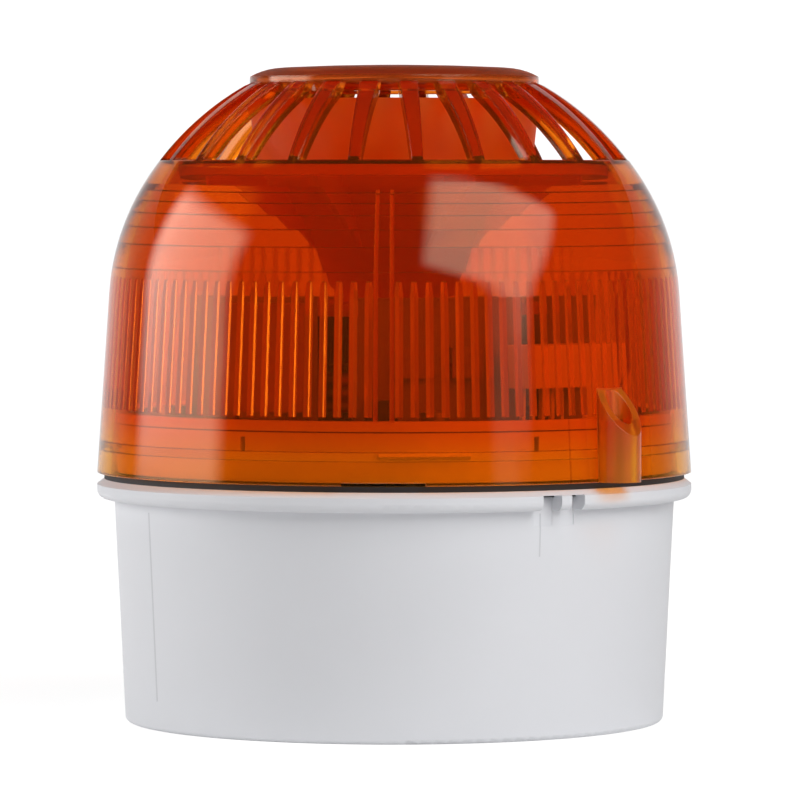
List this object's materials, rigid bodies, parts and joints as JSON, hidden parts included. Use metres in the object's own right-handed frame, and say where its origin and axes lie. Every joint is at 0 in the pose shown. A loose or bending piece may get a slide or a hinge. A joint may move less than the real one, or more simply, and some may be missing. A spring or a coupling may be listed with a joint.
{
  "type": "beacon sounder",
  "caption": "Round alarm sounder with an amber domed lens, slotted sound crown and a deep white wall base; the head twists off a bayonet.",
  "frame": {"origin": "centre of the base's wall face", "axes": "+Z away from the wall along the axis, -Y the side seen in the picture, +X to its right"},
  "size_m": [0.1, 0.1, 0.1101],
  "materials": {
    "white_housing": "fine satin moulding",
    "amber_lens": "clear polished moulding",
    "black_seal": "matt",
    "white_insulator": "satin",
    "brass": "stamped",
    "screw_steel": "zinc plated",
    "spring_metal": "stamped strip",
    "board": "solder mask",
    "light_board": "buff solder mask",
    "black_housing": "satin",
    "relay_case": "satin moulding",
    "ceramic": "fired",
    "capacitor_sleeve": "shrunk sleeve",
    "ferrite": "sintered",
    "copper_wire": "enamelled",
    "chip": "moulded",
    "lamp": "moulded",
    "switch_case": "moulded",
    "switch_slider": "moulded",
    "trimmer_case": "moulded",
    "trimmer_rotor": "moulded"
  },
  "bodies": {
    "base": {"base_housing": "white_housing", "head_seal": "black_seal", "terminal_block": "white_insulator", "terminal_cages": "brass", "terminal_screws": "screw_steel", "contact_springs": "spring_metal", "block_screws": "screw_steel"},
    "head": {"lens": "amber_lens", "sound_horn": "amber_lens", "horn_seal": "black_seal", "chassis": "white_housing", "main_board": "board", "board_screws": "screw_steel", "driver_housing": "black_housing", "driver_screws": "screw_steel", "piezo_plate": "brass", "piezo_ceramic": "ceramic", "led_boards": "light_board", "leds": "lamp", "capacitors": "capacitor_sleeve", "choke_core": "ferrite", "choke_winding": "copper_wire", "control_chip": "chip", "switch_body": "switch_case", "volume_body": "trimmer_case", "contact_pads": "brass", "link_connector": "white_insulator", "relay": "relay_case", "board_fuse": "chip"},
    "switch_slider_1": {"switch_slider_1": "switch_slider"},
    "switch_slider_2": {"switch_slider_2": "switch_slider"},
    "switch_slider_3": {"switch_slider_3": "switch_slider"},
    "switch_slider_4": {"switch_slider_4": "switch_slider"},
    "switch_slider_5": {"switch_slider_5": "switch_slider"},
    "volume_rotor": {"volume_rotor": "trimmer_rotor"}
  },
  "joints": [
    {"name": "head_twist", "type": "hinge", "parent": "base", "child": "head", "pos_m": [0, 0, 0.0408], "axis": [0, 0, 1], "range_deg": [0, 25]},
    {"name": "tone_switch_1", "type": "slide", "parent": "head", "child": "switch_slider_1", "axis": [0, 1, 0], "range_m": [0, 0.0016]},
    {"name": "tone_switch_2", "type": "slide", "parent": "head", "child": "switch_slider_2", "axis": [0, 1, 0], "range_m": [0, 0.0016]},
    {"name": "tone_switch_3", "type": "slide", "parent": "head", "child": "switch_slider_3", "axis": [0, 1, 0], "range_m": [0, 0.0016]},
    {"name": "tone_switch_4", "type": "slide", "parent": "head", "child": "switch_slider_4", "axis": [0, 1, 0], "range_m": [0, 0.0016]},
    {"name": "tone_switch_5", "type": "slide", "parent": "head", "child": "switch_slider_5", "axis": [0, 1, 0], "range_m": [0, 0.0016]},
    {"name": "volume_turn", "type": "hinge", "parent": "head", "child": "volume_rotor", "pos_m": [0.018, -0.014, 0.046], "axis": [0, 0, -1], "range_deg": [0, 270]}
  ]
}
